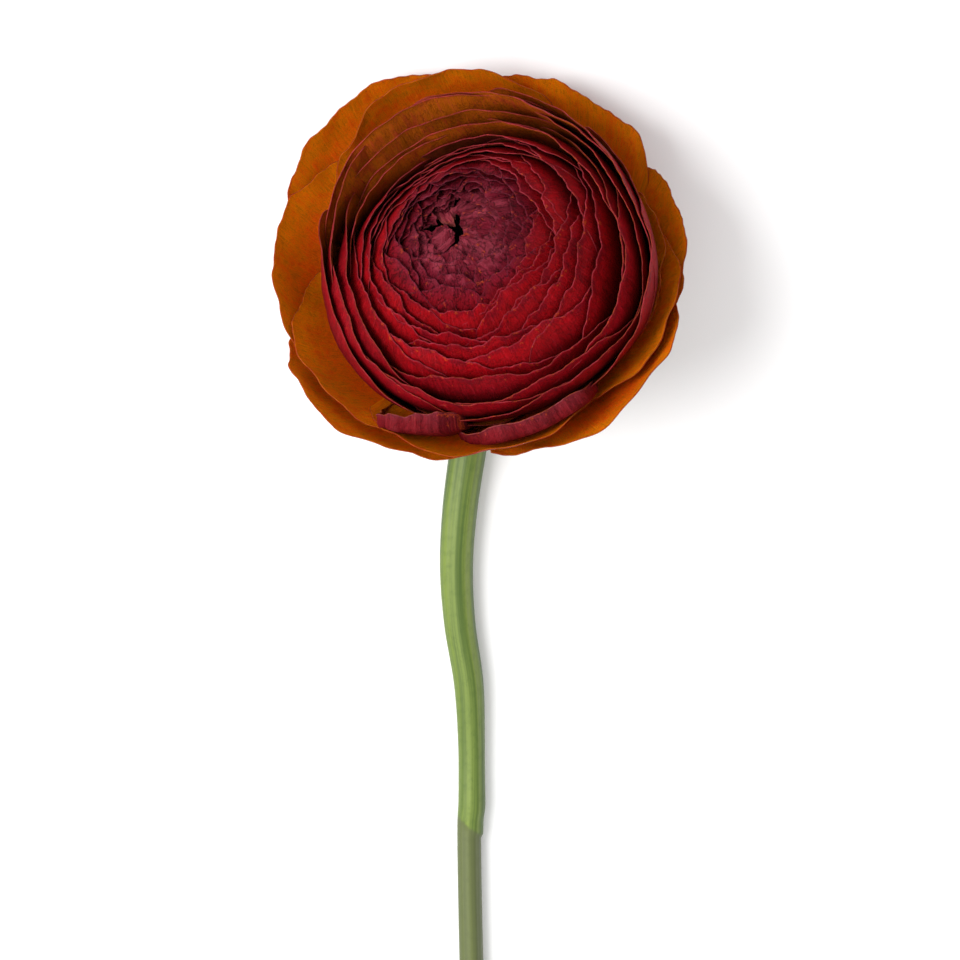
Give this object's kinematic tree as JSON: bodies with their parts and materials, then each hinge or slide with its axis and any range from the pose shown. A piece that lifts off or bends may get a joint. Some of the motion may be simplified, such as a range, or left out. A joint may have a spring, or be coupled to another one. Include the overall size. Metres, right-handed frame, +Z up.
{
  "type": "persian buttercup flower",
  "caption": "Cut ranunculus bloom of tightly nested crimson petals with an open orange outer ring, on a bare green stem, lying down face up.",
  "frame": {"origin": "centre of the flower's bounding box, on the surface it lies on", "axes": "+Z up from the surface; the stem lies along -Y and the bloom is at the +Y end, facing up and towards +Y; +X is to the right when seen from above with the bloom at the top"},
  "size_m": [0.072, 0.1829, 0.0483],
  "materials": {
    "ball_petal_red": "satin petal, crimson outside and orange inside",
    "outer_petal_orange": "satin petal, amber inside and red outside",
    "heart_mauve": "matt folded petals, dusty mauve",
    "carpel_brown": "matt, dark brown",
    "stem_green": "smooth green plant skin"
  },
  "bodies": {
    "root": {"stem": "stem_green", "carpel_cone": "carpel_brown", "heart_bud": "heart_mauve", "ball_petal_01": "ball_petal_red", "ball_petal_02": "ball_petal_red", "ball_petal_03": "ball_petal_red", "ball_petal_04": "ball_petal_red", "ball_petal_05": "ball_petal_red", "ball_petal_06": "ball_petal_red", "ball_petal_07": "ball_petal_red", "ball_petal_08": "ball_petal_red", "ball_petal_09": "ball_petal_red", "ball_petal_10": "ball_petal_red", "ball_petal_11": "ball_petal_red", "ball_petal_12": "ball_petal_red", "ball_petal_13": "ball_petal_red", "ball_petal_14": "ball_petal_red", "ball_petal_15": "ball_petal_red", "ball_petal_16": "ball_petal_red", "ball_petal_17": "ball_petal_red", "ball_petal_18": "ball_petal_red", "ball_petal_19": "ball_petal_red", "ball_petal_20": "ball_petal_red", "ball_petal_21": "ball_petal_red", "ball_petal_22": "ball_petal_red", "cup_petal_01": "ball_petal_red", "cup_petal_02": "ball_petal_red", "cup_petal_03": "ball_petal_red", "cup_petal_04": "ball_petal_red", "cup_petal_05": "ball_petal_red", "cup_petal_06": "ball_petal_red", "cup_petal_07": "ball_petal_red", "cup_petal_08": "ball_petal_red", "cup_petal_09": "ball_petal_red", "cup_petal_10": "ball_petal_red", "cup_petal_11": "ball_petal_red", "cup_petal_12": "ball_petal_red", "cup_petal_13": "ball_petal_red", "outer_petal_01": "outer_petal_orange", "outer_petal_02": "outer_petal_orange", "outer_petal_03": "outer_petal_orange", "outer_petal_04": "outer_petal_orange", "outer_petal_05": "outer_petal_orange", "outer_petal_06": "outer_petal_orange", "outer_petal_07": "outer_petal_orange", "outer_petal_08": "outer_petal_orange", "outer_petal_09": "outer_petal_orange", "outer_petal_10": "outer_petal_orange", "outer_petal_11": "outer_petal_orange", "sepal_1": "stem_green", "sepal_2": "stem_green", "sepal_3": "stem_green", "sepal_4": "stem_green", "sepal_5": "stem_green"}
  },
  "joints": []
}
